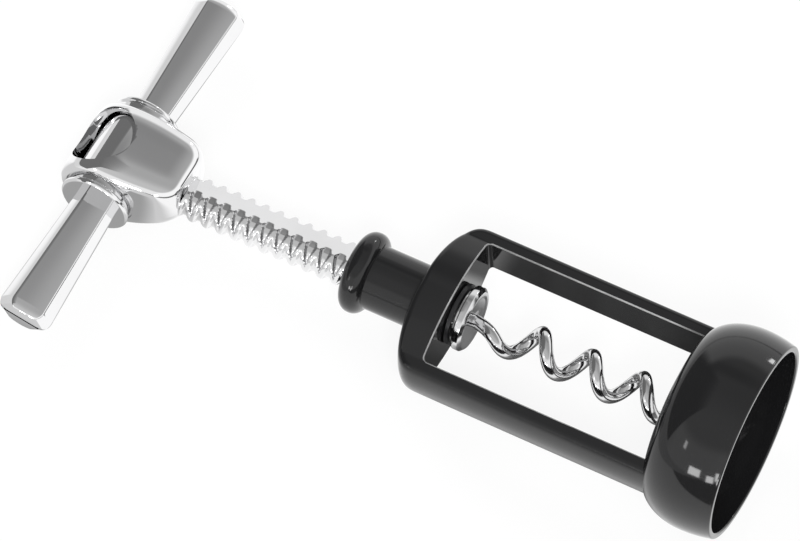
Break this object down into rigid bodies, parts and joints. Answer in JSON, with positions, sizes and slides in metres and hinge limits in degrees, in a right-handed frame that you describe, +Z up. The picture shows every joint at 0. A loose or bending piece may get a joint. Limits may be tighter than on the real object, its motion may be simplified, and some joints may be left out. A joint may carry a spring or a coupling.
{
  "type": "bell corkscrew",
  "caption": "Bell corkscrew with a T handle, a threaded spindle that slides and turns in the neck of an open cage, a coiled worm and a round bell that sits on the bottle.",
  "frame": {"origin": "centre of the bell's mouth, on the spindle axis, in the plane of the rim", "axes": "+X along the spindle out of the bell's mouth, +Y along the T handle, +Z up while the corkscrew lies on a table with the flat of its handle level; the spindle is stored pulled out to its stop, as in the picture"},
  "size_m": [0.1535, 0.086, 0.0434],
  "materials": {
    "black_gloss": "high gloss, moulded",
    "black_nylon": "plain moulded",
    "chrome": "bright chrome plate",
    "pin_steel": "plain ground pin"
  },
  "bodies": {
    "frame": {"frame": "black_gloss", "guide_bush": "black_nylon"},
    "slider": {"thrust_washer": "black_nylon"},
    "spindle": {"spindle_shaft": "chrome", "worm_flange": "chrome", "worm": "chrome", "worm_pin": "pin_steel", "hub": "chrome", "hub_pin": "pin_steel", "handle_bar": "chrome"}
  },
  "joints": [
    {"name": "spindle_slide", "type": "slide", "parent": "frame", "child": "slider", "axis": [1, 0, 0], "range_m": [0, 0.0374]},
    {"name": "spindle_turn", "type": "hinge", "parent": "slider", "child": "spindle", "pos_m": [-0.1, 0, 0], "axis": [1, 0, 0], "continuous": true}
  ]
}
